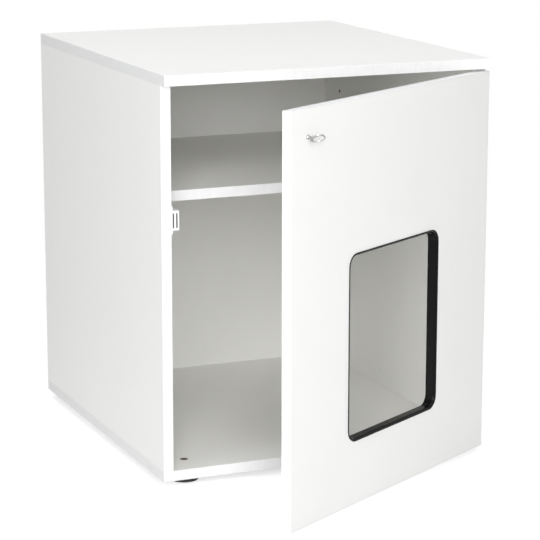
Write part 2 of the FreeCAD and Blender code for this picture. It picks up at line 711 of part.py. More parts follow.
def make_mounting_plate(name, level):
    """The cruciform plate on the side panel, with the rail that the arm is clamped to."""
    wing_y0 = plate_screw_setback - plate_wing_width / 2.0
    wing_y1 = plate_screw_setback + plate_wing_width / 2.0
    half = plate_screw_pitch / 2.0
    face = inner_right - plate_thickness
    rail_half = cheek_layer[0] - rail_play
    rail_top = inner_right - arm_height + arm_wall
    solid = box(face, inner_right, wing_y0, wing_y1, -half, half)
    for side in (-1.0, 1.0):
        solid = solid.fuse(rod(V(face, plate_screw_setback, side * half), V(1, 0, 0),
                               plate_wing_width, plate_thickness))
    solid = solid.fuse([box(face, inner_right, plate_front, arm_back, -rail_half, rail_half),
                        box(rail_top, inner_right, rail_front, arm_back - rail_short,
                            -rail_half, rail_half)]).removeSplitter()
    for side in (-1.0, 1.0):
        solid = solid.cut(rod(V(face, plate_screw_setback, side * half), V(1, 0, 0),
                              plate_screw_diameter, plate_thickness))
    for setback in arm_screw_setbacks:
        solid = solid.cut(rod(V(rail_top, setback, 0), V(1, 0, 0), arm_screw_diameter,
                              arm_screw_diameter))
    parts["hinge_mounting_plate_" + name] = lifted(solid, level)


def make_hinges():
    arm_screws = []
    plate_screws = []
    for name, level in hinge_levels.items():
        make_cup(name, level)
        make_links(name, level)
        arm_screws += make_arm(name, level)
        make_mounting_plate(name, level)
        for tip in plate_screw_tips(level):
            plate_screws.append(screw(tip, V(1, 0, 0), plate_screw_diameter,
                                      plate_screw_length + plate_thickness,
                                      plate_screw_head, hinge_screw_head_height))
    parts["hinge_arm_screws"] = Part.makeCompound(arm_screws)
    parts["hinge_plate_screws"] = Part.makeCompound(plate_screws)
    parts["hinge_cup_screws"] = swing(cup_screws())


# ---- screw feet ----------------------------------------------------------------------------
def foot_insert(x, y):
    up = V(0, 0, 1)
    flange = rod(V(x, y, box_low - insert_flange), up, insert_flange_diameter, insert_flange)
    sleeve = rod(V(x, y, box_low), up, insert_sleeve_diameter, board - insert_short)
    bore = rod(V(x, y, box_low - insert_flange), up, spindle_diameter + 2.0 * spindle_play,
               insert_flange + board)
    return flange.fuse(sleeve).removeSplitter().cut(bore)


def foot_glide(x, y):
    """The disc on the floor with its hub and the pocket for the spindle's collar."""
    up = V(0, 0, 1)
    hub_top = box_low - insert_flange - foot_hub_gap
    base = rod(V(x, y, 0), up, foot_diameter, foot_plate)
    rim = [edge for edge in base.Edges if edge.BoundBox.ZMin > foot_plate - touch]
    base = base.makeChamfer(foot_plate_bevel, rim)
    hub = rod(V(x, y, 0), up, foot_hub_diameter, hub_top)
    pocket = rod(V(x, y, spindle_collar_floor), up, spindle_collar_diameter + 2.0 * collar_play,
                 spindle_collar_height + 2.0 * collar_play)
    mouth = rod(V(x, y, spindle_collar_floor), up, spindle_diameter + 2.0 * collar_play, foot_height)
    return base.fuse(hub).removeSplitter().cut(pocket).cut(mouth)


def foot_spindle(x, y):
    up = V(0, 0, 1)
    collar_low = spindle_collar_floor + collar_play
    top = floor_level - spindle_top
    collar = rod(V(x, y, collar_low), up, spindle_collar_diameter, spindle_collar_height)
    shaft = rod(V(x, y, collar_low), up, spindle_diameter, top - collar_low)
    slot = box(x - spindle_diameter, x + spindle_diameter, y - spindle_slot / 2.0, y + spindle_slot / 2.0,
               top - spindle_slot_depth, top)
    return collar.fuse(shaft).removeSplitter().cut(slot)


def make_feet():
    parts["foot_inserts"] = Part.makeCompound([foot_insert(x, y) for x, y in foot_axes.values()])
    for name, (x, y) in foot_axes.items():
        parts["foot_glide_" + name] = foot_glide(x, y)
        parts["foot_spindle_" + name] = foot_spindle(x, y)


# ---- whole cabinet -------------------------------------------------------------------------
def place_origin():
    """Move every part so that the origin is the middle of the bounding box's bottom."""
    span = Part.makeCompound(list(parts.values())).BoundBox
    shift = V(-(span.XMin + span.XMax) / 2.0, -(span.YMin + span.YMax) / 2.0, -span.ZMin)
    for shape in parts.values():
        shape.translate(shift)
    return shift


make_panels()
make_back()
make_dowels()
make_plug()
make_shelf()
make_supports()
make_catch()
make_door(make_strike())
make_trim()
make_pull()
make_hinges()
make_feet()
origin_shift = place_origin()

os.makedirs("parts", exist_ok=True)
for node, shape in parts.items():
    shape.exportStep("parts/" + node + ".step")
    print(node, len(shape.Solids), "solid(s)", "valid" if shape.isValid() else "NOT VALID")
print("origin moved by", origin_shift)
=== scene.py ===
import math

import bmesh
import bpy
from mathutils import Matrix, Vector


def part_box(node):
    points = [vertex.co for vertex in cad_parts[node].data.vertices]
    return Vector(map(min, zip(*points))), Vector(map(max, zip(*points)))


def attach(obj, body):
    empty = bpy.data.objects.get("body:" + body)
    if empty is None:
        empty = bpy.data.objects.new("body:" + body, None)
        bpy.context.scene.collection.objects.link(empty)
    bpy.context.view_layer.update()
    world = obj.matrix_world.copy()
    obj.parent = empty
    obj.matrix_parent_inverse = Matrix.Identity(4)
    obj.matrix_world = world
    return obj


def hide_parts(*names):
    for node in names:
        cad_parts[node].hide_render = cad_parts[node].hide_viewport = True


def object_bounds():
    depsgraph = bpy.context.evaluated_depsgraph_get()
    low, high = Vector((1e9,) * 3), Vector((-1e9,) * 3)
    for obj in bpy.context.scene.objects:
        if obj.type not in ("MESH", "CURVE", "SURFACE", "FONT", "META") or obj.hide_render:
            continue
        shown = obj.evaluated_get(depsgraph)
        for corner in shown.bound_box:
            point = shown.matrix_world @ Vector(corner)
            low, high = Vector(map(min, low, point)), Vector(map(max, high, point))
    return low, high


bl_info = {
    "name": "Cat litter box cabinet",
    "version": (1, 0, 0),
    "blender": (4, 5, 0),
    "location": "3D View > Sidebar > Cabinet",
    "description": "Finishes, fixings and studio for a white cat litter box cabinet with a trimmed cat entry",
    "category": "Object",
}

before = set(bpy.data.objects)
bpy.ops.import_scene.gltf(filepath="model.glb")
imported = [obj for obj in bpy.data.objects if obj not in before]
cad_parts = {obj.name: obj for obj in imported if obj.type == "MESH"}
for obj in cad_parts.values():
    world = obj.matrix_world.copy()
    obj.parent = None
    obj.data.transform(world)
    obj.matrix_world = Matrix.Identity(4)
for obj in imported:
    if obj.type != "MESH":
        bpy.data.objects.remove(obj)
cad_low, cad_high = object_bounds()

DOOR_AJAR = math.radians(31.2)  # how far the stored door stands open
DOOR_OUT = Vector((math.sin(DOOR_AJAR), -math.cos(DOOR_AJAR), 0))  # out of the door's front
BAND = 0.0008  # thickness of the edge band on the boards
BORE = 0.0003  # how far inside a board its raw chipboard starts; that chipboard's dark brown is partly its own colour and partly painted shade of the bores
SEAM = 0.00012  # half the width of the line where an edge band meets a face
FACING = 0.6  # share of a normal along the board's thickness above which it counts as a face
MILLIMETRES = 1000  # in a metre: the exact boolean finds nothing on screws at metre scale
WELD = 1e-6  # points of a screw or a node nearer than this are one
FINE_WELD = 1e-7  # the same for the ring pull

# Melamine: scale of each noise, and the shares of the colour that it runs between
CLOUD, CLOUD_SHADES = 5.0, (0.985, 1.012)
FLECK, FLECK_SHADE, FLECK_MOST = 420.0, 0.97, 0.5
BAND_GRAIN, BAND_SHADES = 260.0, (0.93, 1.03)
CHIPS, CHIP_SHADES = 900.0, (0.5, 1.5)
SEAM_SHADE = 0.8
BOARD_ROUGHNESS = 0.42
GLOSS, GLOSS_RANGE = 60.0, (0.38, 0.5)
PEARL, PEARL_DEPTH = 1500.0, 0.00002
SEAM_DEPTH = 0.00004

# Plain finishes: scale of the colour's and the roughness's noise as shares of the grain's
COLOUR_SCALE, ROUGH_SCALE = 0.08, 0.2
ROUGH_SPREAD = 0.2

# Fittings that the photo shows small or not at all, so their colours have no setting
BEECH = (0.55, 0.36, 0.18)
POLE_STEEL = (0.09, 0.088, 0.085)
FERRITE = (0.02, 0.02, 0.021)

# Screws, as shares of the head's height and radius and of the shank's radius
DOME_RISE, FLAT_RISE = 0.35, 0.12
HEAD_PROFILE = ((0.55, 0.15), (0.85, 0.6))  # radius, and depth as a share of the rise
HEAD_SHOULDER, HEAD_FOOT = 0.15, 0.98
THREAD_PITCH, THREAD_ROOT = 0.9, 0.82
TIP_RADIUS, TIP_LENGTH = 0.7, 0.4
DRIVE_TAPER = (0.45, 0.7)  # the cross's reach and width at its bottom
SCREW_STEPS = 28
SCREW_SHARP = math.radians(35)  # edges that turn more than this stay sharp
FIRST_TURN, NEXT_TURN = 0.5, 1.1  # turns of the screws' crosses, in radians
RIM = 0.97  # share of the head's radius that counts as its rim
TIP_BAND = 1e-5

# Ring pull
WIRE_SIDES, RING_STEPS, STEM_STEPS = 20, 72, 40
THIN_WIRE, THICKER_WIRE = 0.9, 0.75  # the wire's thickness away from the stem, and what it gains
SEAT_BAND = 0.0001
CAST_GRAIN, CAST_PASSES, CAST_SOFTNESS = 0.00028, 5, 0.5
STEM_FOOT = ((0.0, 0.0), (0.0036, 0.0), (0.0037, 0.0008), (0.0033, 0.0016), (0.0024, 0.0026),
             (0.0021, 0.0042))  # radius, and distance out from the door's face
STEM_END = ((0.0019, -0.0018), (0.0021, 0.0), (0.0, 0.0006))  # radius, and distance past the ring

# Studio
SENSOR_WIDTH, CLIP_END = 36, 50
LAMP_COLOUR = (0.985, 0.99, 1.025)
LAMPS = (  # name, place and width
    ("front", (-1.3, -3.2, 0.95), 1.8),
    ("high", (-1.2, -2.9, 1.7), 1.6),
    ("side", (-3.2, -1.4, 1.1), 1.8),
    ("top", (-0.2, 0.3, 3.3), 2.2),
    ("right", (1.9, -2.2, 2.2), 1.8))
FLOOR_REACH = 12.0
FLOOR_GREY, FLOOR_LIFT = 0.8, 0.56  # what the floor scatters, and what it glows for the camera
FADE_FROM, FADE_TO = 0.55, 1.2  # distances over which the floor turns plain white


# ---- sizes and colours ------------------------------------------------------------------------
class CabinetFinish(bpy.types.PropertyGroup):
    """Colours of the cabinet's boards and fittings"""
    board: bpy.props.FloatVectorProperty(
        name="Board", description="Melamine face of the panels", subtype="COLOR", size=3,
        default=(0.915, 0.91, 0.872))
    edge_band: bpy.props.FloatVectorProperty(
        name="Edge band", description="Band on the panels' edges", subtype="COLOR", size=3,
        default=(0.84, 0.838, 0.82))
    # Raw chipboard brown, kept dark so that it also paints the shade inside the bores, holes and grooves
    chipboard_bore_shade: bpy.props.FloatVectorProperty(
        name="Chipboard", description="Raw board inside the bores and grooves", subtype="COLOR",
        size=3,
        default=(0.16, 0.105, 0.06))
    hardboard: bpy.props.FloatVectorProperty(
        name="Hardboard", description="Lacquered back panel", subtype="COLOR", size=3,
        default=(0.905, 0.9, 0.862))
    trim: bpy.props.FloatVectorProperty(
        name="Entry trim", description="Edge trim round the cat entry", subtype="COLOR", size=3,
        default=(0.0022, 0.0022, 0.0024))
    pull: bpy.props.FloatVectorProperty(
        name="Ring pull", description="Plated ring pull", subtype="COLOR", size=3,
        default=(0.42, 0.42, 0.415))
    steel: bpy.props.FloatVectorProperty(
        name="Hinge steel", description="Nickel-plated hinge parts", subtype="COLOR", size=3,
        default=(0.62, 0.61, 0.59))
    zinc: bpy.props.FloatVectorProperty(
        name="Screws", description="Zinc-plated screws", subtype="COLOR", size=3,
        default=(0.6, 0.61, 0.63))
    white_plastic: bpy.props.FloatVectorProperty(
        name="White plastic", description="Catch housing and hole plug", subtype="COLOR", size=3,
        default=(0.83, 0.83, 0.81))
    black_plastic: bpy.props.FloatVectorProperty(
        name="Black plastic", description="Screw feet", subtype="COLOR", size=3,
        default=(0.012, 0.012, 0.013))


class CabinetPull(bpy.types.PropertyGroup):
    """Sizes of the ring pull on the door"""
    reach: bpy.props.FloatProperty(
        name="Reach", description="Door's face to the ring's middle", default=0.0175,
        min=0.012, max=0.04, unit="LENGTH")
    ring_radius: bpy.props.FloatProperty(
        name="Ring radius", description="Ring's middle to the middle of its wire", default=0.0093,
        min=0.005, max=0.02, unit="LENGTH")
    wire_radius: bpy.props.FloatProperty(
        name="Wire radius", description="Half the thickness of the ring's wire", default=0.0013,
        min=0.0006, max=0.003, unit="LENGTH")
    turn: bpy.props.FloatProperty(
        name="Turn", description="Ring's turn about its stem", default=math.radians(70.0),
        subtype="ANGLE")


class CabinetScrews(bpy.types.PropertyGroup):
    """Sizes of the screws' drives and threads"""
    slot_share: bpy.props.FloatProperty(
        name="Cross slot", description="Cross slot's width as a share of the head's radius",
        default=0.24, min=0.05, max=0.6, subtype="FACTOR")
    cross_share: bpy.props.FloatProperty(
        name="Cross reach", description="Cross's reach as a share of the head's radius",
        default=0.62, min=0.2, max=0.95, subtype="FACTOR")
    recess: bpy.props.FloatProperty(
        name="Drive depth", description="Depth of the cross in the head",
        default=0.0011, min=0.0002, max=0.003, unit="LENGTH")


class CabinetStudio(bpy.types.PropertyGroup):
    """Camera and lamps"""
    lens: bpy.props.FloatProperty(
        name="Lens", description="Focal length", default=147.77, min=20, max=400, unit="CAMERA")
    station: bpy.props.FloatVectorProperty(
        name="Station", description="Camera's place from the box's lower front left corner", size=3,
        subtype="TRANSLATION", default=(-1.11231, -2.99701, 1.03632))
    heading: bpy.props.FloatProperty(
        name="Heading", description="Camera's turn about the vertical", default=-0.40538,
        subtype="ANGLE")
    dip: bpy.props.FloatProperty(
        name="Dip", description="Camera's tilt below the horizon", default=0.21823, subtype="ANGLE")
    roll: bpy.props.FloatProperty(
        name="Roll", description="Camera's turn about its own axis", default=-0.00119,
        subtype="ANGLE")
    surround: bpy.props.FloatProperty(
        name="Surround", description="Level of the even light from all round", default=0.13,
        min=0, max=2)
    front: bpy.props.FloatProperty(
        name="Front", description="Power of the lamp beside the camera", default=41,
        min=0, max=900, unit="POWER")
    high: bpy.props.FloatProperty(
        name="High", description="Power of the lamp over the camera", default=54,
        min=0, max=900, unit="POWER")
    side: bpy.props.FloatProperty(
        name="Side", description="Power of the lamp at the left", default=24,
        min=0, max=900, unit="POWER")
    top: bpy.props.FloatProperty(
        name="Top", description="Power of the lamp above", default=44,
        min=0, max=900, unit="POWER")
    right: bpy.props.FloatProperty(
        name="Right", description="Power of the lamp at the right", default=12,
        min=0, max=900, unit="POWER")


# ---- materials --------------------------------------------------------------------------------
class Finish:
    """A material under construction, with short ways to add and join its nodes"""

    def __init__(self, name, colour, roughness, metallic=0.0):
        self.material = bpy.data.materials.new(name)
        self.material.use_nodes = True
        self.nodes = self.material.node_tree.nodes
        self.links = self.material.node_tree.links
        self.shader = self.nodes["Principled BSDF"]
        self.shader.inputs["Base Color"].default_value = (*colour, 1)
        self.shader.inputs["Roughness"].default_value = roughness
        self.shader.inputs["Metallic"].default_value = metallic
        self.place = self.nodes.new("ShaderNodeTexCoord")

    def add(self, kind, settings=None, **inputs):
        """A node of a kind, with its settings and its inputs by name or number"""
        node = self.nodes.new(kind)
        for key, value in (settings or {}).items():
            setattr(node, key, value)
        for key, value in inputs.items():
            socket = node.inputs[int(key[1:]) if key[0] == "i" and key[1:].isdigit() else key]
            if isinstance(value, bpy.types.NodeSocket):
                self.links.new(value, socket)
            else:
                socket.default_value = value
        return node

    def maths(self, operation, first, second=0.0):
        return self.add("ShaderNodeMath", {"operation": operation}, i0=first, i1=second).outputs[0]

    def noise(self, scale, detail, stretch=(1, 1, 1)):
        """Noise on the piece's own coordinates, between 0 and 1"""
        mapped = self.add("ShaderNodeMapping", None, Vector=self.place.outputs["Object"],
                          Scale=stretch)
        return self.add("ShaderNodeTexNoise", None, Vector=mapped.outputs[0],
                        Scale=scale, Detail=detail).outputs["Fac"]

    def blend(self, factor, low, high):
        """A colour between two others"""
        node = self.add("ShaderNodeMix", {"data_type": "RGBA"})
        self.links.new(factor, node.inputs[0])
        for socket, value in ((node.inputs[6], low), (node.inputs[7], high)):
            if isinstance(value, bpy.types.NodeSocket):
                self.links.new(value, socket)
            else:
                socket.default_value = (*value, 1)
        return node.outputs[2]

    def spread(self, value, low, high):
        """The value stretched from 0..1 onto low..high"""
        return self.add("ShaderNodeMapRange", None, Value=value, i3=low, i4=high).outputs[0]

    def colour(self, socket):
        self.links.new(socket, self.shader.inputs["Base Color"])

    def rough(self, socket):
        self.links.new(socket, self.shader.inputs["Roughness"])

    def bump(self, height, distance, strength, over=None):
        node = self.add("ShaderNodeBump", None, Height=height, Distance=distance, Strength=strength)
        if over is not None:
            self.links.new(over, node.inputs["Normal"])
        self.links.new(node.outputs[0], self.shader.inputs["Normal"])
        return node.outputs[0]


def tint(colour, share):
    return tuple(min(1.0, c * share) for c in colour)


def board_finish(name, centre, half, turn, thin):
    """Melamine board: pearled faces, edge bands with their seam line, a faint cloudiness, and dark raw
    chipboard inside, partly its own brown and partly painted shade of the bores.

    centre and half give the board's middle and half sizes along its own axes, turn is its turn
    about the vertical, and thin is the number of the axis that its thickness lies along."""
    colours = bpy.context.scene.cabinet_finish
    finish = Finish(name, colours.board, BOARD_ROUGHNESS)
    shifted = finish.add("ShaderNodeVectorMath", {"operation": "SUBTRACT"},
                         i0=finish.place.outputs["Object"], i1=tuple(centre))
    local = finish.add("ShaderNodeVectorRotate", {"rotation_type": "Z_AXIS"},
                       Vector=shifted.outputs[0], Angle=-turn)
    facing = finish.add("ShaderNodeVectorRotate", {"rotation_type": "Z_AXIS"},
                        Vector=finish.place.outputs["Normal"], Angle=-turn)
    place = finish.add("ShaderNodeSeparateXYZ", None, Vector=local.outputs[0]).outputs
    normal = finish.add("ShaderNodeSeparateXYZ", None, Vector=facing.outputs[0]).outputs
    on_face = finish.maths("GREATER_THAN", finish.maths("ABSOLUTE", normal[thin]), FACING)
    seams, insets = [], []
    for axis in range(3):
        inset = finish.maths("SUBTRACT", half[axis], finish.maths("ABSOLUTE", place[axis]))
        insets.append(inset)
        if axis != thin:
            off = finish.maths("ABSOLUTE", finish.maths("SUBTRACT", inset, BAND))
            seams.append(finish.maths("LESS_THAN", off, SEAM))
    seam = finish.maths("MULTIPLY", on_face, finish.maths("MAXIMUM", *seams))
    least = finish.maths("MINIMUM", insets[0], finish.maths("MINIMUM", insets[1], insets[2]))
    # Surfaces deeper in than BORE take the dark chipboard colour: raw board, and painted shade of the bores
    raw_bore_shade_mask = finish.maths("GREATER_THAN", least, BORE)
    cloud = finish.noise(CLOUD, 3.0)
    fleck = finish.noise(FLECK, 2.0, (1.0, 1.0, 0.35))
    face = finish.blend(cloud, *(tint(colours.board, shade) for shade in CLOUD_SHADES))
    face = finish.blend(finish.spread(fleck, 0.0, FLECK_MOST), face,
                        tint(colours.board, FLECK_SHADE))
    band = finish.blend(finish.noise(BAND_GRAIN, 4.0, (1.0, 1.0, 0.2)),
                        *(tint(colours.edge_band, shade) for shade in BAND_SHADES))
    both = finish.blend(on_face, band, face)
    # Chipboard brown with random chips, dark enough to be painted shade of the bores as well
    chips_bore_shade = finish.blend(finish.noise(CHIPS, 3.0),
                         *(tint(colours.chipboard_bore_shade, shade) for shade in CHIP_SHADES))
    seamed = finish.blend(seam, both, tint(colours.edge_band, SEAM_SHADE))
    finish.colour(finish.blend(raw_bore_shade_mask, seamed, chips_bore_shade))
    finish.rough(finish.spread(finish.noise(GLOSS, 2.0), *GLOSS_RANGE))
    pearl = finish.bump(finish.noise(PEARL, 3.0), PEARL_DEPTH, 0.5)
    finish.bump(finish.maths("MULTIPLY", seam, -1.0), SEAM_DEPTH, 0.6, pearl)
    return finish.material


def plain_finish(name, colour, roughness, grain, depth, metallic=0.0, stretch=(1, 1, 1),
                 vary=0.05, specular=0.5):
    """A moulded, pressed or plated surface with its own fine grain"""
    finish = Finish(name, colour, roughness, metallic)
    finish.shader.inputs["Specular IOR Level"].default_value = specular
    finish.colour(finish.blend(finish.noise(grain * COLOUR_SCALE, 2.0, stretch),
                               tint(colour, 1 - vary), tint(colour, 1 + vary)))
    finish.rough(finish.spread(finish.noise(grain * ROUGH_SCALE, 3.0, stretch),
                               roughness * (1 - ROUGH_SPREAD), roughness * (1 + ROUGH_SPREAD)))
    finish.bump(finish.noise(grain, 3.0, stretch), depth, 0.6)
    return finish.material


def dress(node, material):
    """Give a carried-over node its finish"""
    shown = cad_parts[node]
    shown.data.materials.clear()
    shown.data.materials.append(material)


# ---- meshes -----------------------------------------------------------------------------------
def evaluated(thing):
    """A new mesh with the object's modifiers applied"""
    bpy.context.view_layer.update()
    graph = bpy.context.evaluated_depsgraph_get()
    return bpy.data.meshes.new_from_object(thing.evaluated_get(graph))


def finished(name, mesh, material, body, slot, *replaced):
    """Put a mesh into the scene as a piece that rides on a body"""
    piece = bpy.data.objects.new(name, mesh)
    bpy.context.scene.collection.objects.link(piece)
    mesh.materials.clear()
    mesh.materials.append(material)
    if replaced:
        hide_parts(*replaced)
    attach(piece, body)
    return piece


def carved(mesh, cutter):
    """The mesh with the cutter taken out of it, worked in millimetres"""
    for shape in (mesh, cutter):
        shape.transform(Matrix.Scale(MILLIMETRES, 4))
    body = bpy.data.objects.new("carved", mesh)
    tool = bpy.data.objects.new("cutter", cutter)
    for thing in (body, tool):
        bpy.context.scene.collection.objects.link(thing)
    cut = body.modifiers.new("cut", "BOOLEAN")
    cut.object = tool
    cut.operation = "DIFFERENCE"
    cut.solver = "EXACT"
    cut.use_self = True
    result = evaluated(body)
    for thing in (body, tool):
        bpy.data.objects.remove(thing)
    if not result.polygons:
        raise RuntimeError("nothing is left of the carved piece")
    result.transform(Matrix.Scale(1 / MILLIMETRES, 4))
    return result


def cast(mesh, grain, passes):
    """The mesh's shells run into one another and smoothed, as in a casting"""
    body = bpy.data.objects.new("cast", mesh)
    bpy.context.scene.collection.objects.link(body)
    merge = body.modifiers.new("merge", "REMESH")
    merge.mode = "VOXEL"
    merge.voxel_size = grain
    soften = body.modifiers.new("soften", "SMOOTH")
    soften.iterations = passes
    soften.factor = CAST_SOFTNESS
    result = evaluated(body)
    bpy.data.objects.remove(body)
    for face in result.polygons:
        face.use_smooth = True
    return result


def cross_drive(radius, settings):
    """A tapered cross that carves a screw's drive, mouth at z = 0"""
    bm = bmesh.new()
    reach = radius * settings.cross_share
    width = radius * settings.slot_share
    for turn in (0, math.pi / 2):
        made = bmesh.ops.create_cube(bm, size=1.0)["verts"]
        bmesh.ops.scale(bm, vec=(2 * reach, width, 2 * settings.recess), verts=made)
        for vert in made:
            if vert.co.z < 0:
                vert.co.x *= DRIVE_TAPER[0]
                vert.co.y *= DRIVE_TAPER[1]
        bmesh.ops.rotate(bm, cent=(0, 0, 0), matrix=Matrix.Rotation(turn, 3, "Z"), verts=made)
    mesh = bpy.data.meshes.new("cross_drive")
    bm.to_mesh(mesh)
    bm.free()
    return mesh


def screw_mesh(head_radius, head_height, shank_radius, length, settings, domed):
    """A screw along -z with its head's top at z = 0: spun head, ridged shank and a cross drive"""
    bm = bmesh.new()
    rise = head_height * (DOME_RISE if domed else FLAT_RISE)
    profile = [(0.0, 0.0), *((head_radius * out, -rise * down) for out, down in HEAD_PROFILE),
               (head_radius, -rise - head_height * HEAD_SHOULDER),
               (head_radius * HEAD_FOOT, -head_height), (shank_radius, -head_height)]
    pitch = shank_radius * THREAD_PITCH
    turns = max(2, int((length - head_height) / pitch) - 1)
    for ridge in range(turns):
        depth = -head_height - pitch * (ridge + 0.5)
        if depth - pitch < -head_height - length:
            break
        profile += [(shank_radius * THREAD_ROOT, depth), (shank_radius, depth - pitch * 0.5)]
    profile += [(shank_radius * TIP_RADIUS, -head_height - length + shank_radius * TIP_LENGTH),
                (0.0, -head_height - length)]
    verts = [bm.verts.new((x, 0, z)) for x, z in profile]
    edges = [bm.edges.new(pair) for pair in zip(verts, verts[1:])]
    bmesh.ops.spin(bm, geom=verts + edges, cent=(0, 0, 0), axis=(0, 0, 1), angle=2 * math.pi,
                   steps=SCREW_STEPS, use_merge=True)
    bmesh.ops.remove_doubles(bm, verts=bm.verts, dist=WELD)
    bmesh.ops.recalc_face_normals(bm, faces=bm.faces)
    mesh = bpy.data.meshes.new("screw")
    bm.to_mesh(mesh)
    bm.free()
    return carved(mesh, cross_drive(head_radius, settings))


def islands(node):
    """The separate solids of a node, each as a list of points"""
    bm = bmesh.new()
    bm.from_mesh(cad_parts[node].data)
    bmesh.ops.remove_doubles(bm, verts=bm.verts, dist=WELD)
    found = []
    left = set(bm.verts)
    while left:
        frontier = [left.pop()]
        solid = []
        while frontier:
            vert = frontier.pop()
            solid.append(vert.co.copy())
            for edge in vert.link_edges:
                other = edge.other_vert(vert)
                if other in left:
                    left.remove(other)
                    frontier.append(other)
        found.append(solid)
    bm.free()
    return sorted(found, key=lambda solid: (round(min(p.z for p in solid), 4),
                                            round(min(p.y for p in solid), 4)))


def screws_for(node, outward, body, domed, name, material):
    """Stand detailed screws in the places of a node's plain ones; outward is out of the heads"""
    settings = bpy.context.scene.cabinet_screws
    whole = bmesh.new()
    turned = outward.to_track_quat("Z", "Y").to_matrix().to_4x4()
    for count, solid in enumerate(islands(node)):
        along = [point.dot(outward) for point in solid]
        top, tip = max(along), min(along)
        middle = sum(solid, Vector()) / len(solid)
        off = [(point - middle) - outward * (point - middle).dot(outward) for point in solid]
        head_radius = max(o.length for o in off)
        near_tip = [o.length for o, a in zip(off, along) if a < tip + TIP_BAND]
        shank_radius = max(near_tip)
        head_low = min(a for o, a in zip(off, along) if o.length > head_radius * RIM)
        head_height = top - head_low
        axis_point = middle - outward * middle.dot(outward)
        mesh = screw_mesh(head_radius, head_height, shank_radius, top - tip - head_height,
                          settings, domed)
        spin = Matrix.Rotation(FIRST_TURN + NEXT_TURN * count, 4, "Z")
        mesh.transform(Matrix.Translation(axis_point + outward * top) @ turned @ spin)
        whole.from_mesh(mesh)
        bpy.data.meshes.remove(mesh)
    bmesh.ops.recalc_face_normals(whole, faces=whole.faces)
    mesh = bpy.data.meshes.new(name)
    whole.to_mesh(mesh)
    whole.free()
    for face in mesh.polygons:
        face.use_smooth = True
    mesh.set_sharp_from_angle(angle=SCREW_SHARP)
    return finished(name, mesh, material, body, "screw_steel", node)


